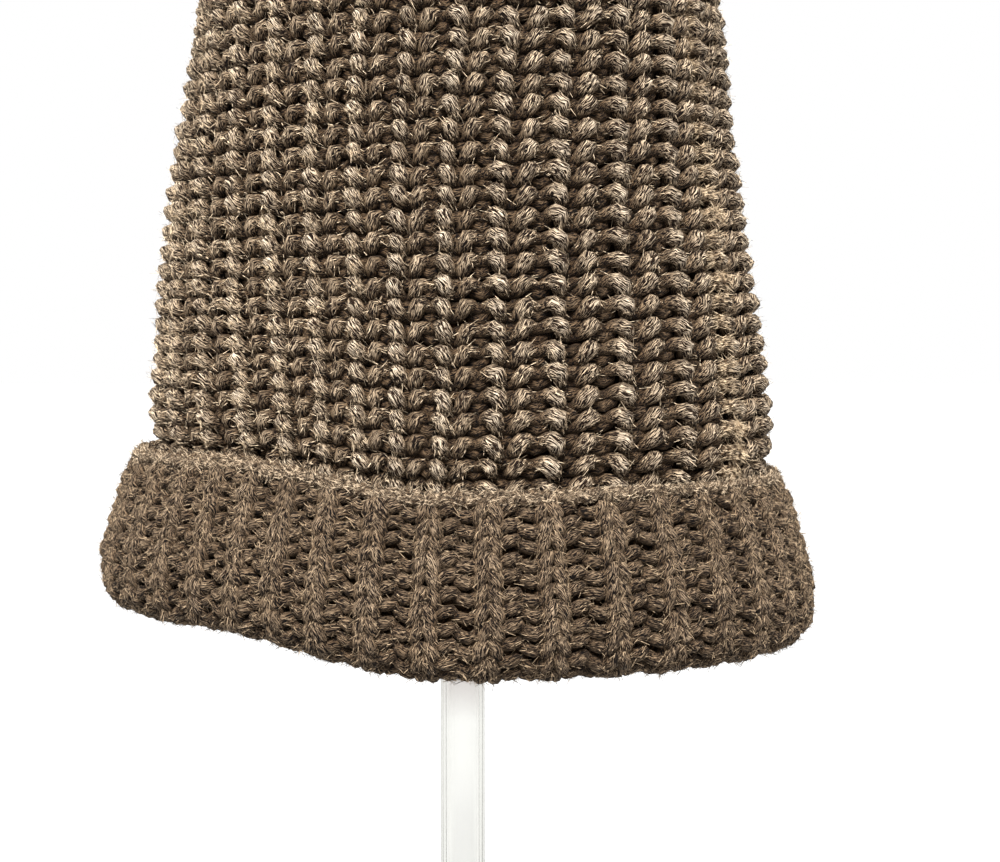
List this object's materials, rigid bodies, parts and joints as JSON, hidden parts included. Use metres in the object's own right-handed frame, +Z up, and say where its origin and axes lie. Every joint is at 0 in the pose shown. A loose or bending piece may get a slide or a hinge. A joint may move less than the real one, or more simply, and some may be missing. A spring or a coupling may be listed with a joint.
{
  "type": "rib-knitted hat on a clear rod stand",
  "caption": "Chunky rib-knitted hat with a rounded crown and a deep turned-up cuff, hanging open side down on a plain clear rod stand with a round foot.",
  "frame": {"origin": "centre of the underside of the stand's round foot, on the table", "axes": "+Z up along the rod, -Y towards the viewer of the hat's front, +X to that viewer's right"},
  "size_m": [0.1901, 0.1752, 0.3345],
  "materials": {
    "knit_body": "chunky 1x1 rib knitting in a soft, slightly hairy marled taupe brown cashmere yarn",
    "knit_cuff": "the same rib knitting turned inside out, with a pale hairy free edge",
    "clear_acrylic": "polished clear acrylic with a faint grey-green edge"
  },
  "bodies": {
    "root": {"body_and_crown": "knit_body", "cuff": "knit_cuff", "stand_dome": "clear_acrylic", "stand_tube": "clear_acrylic", "stand_base": "clear_acrylic"}
  },
  "joints": []
}
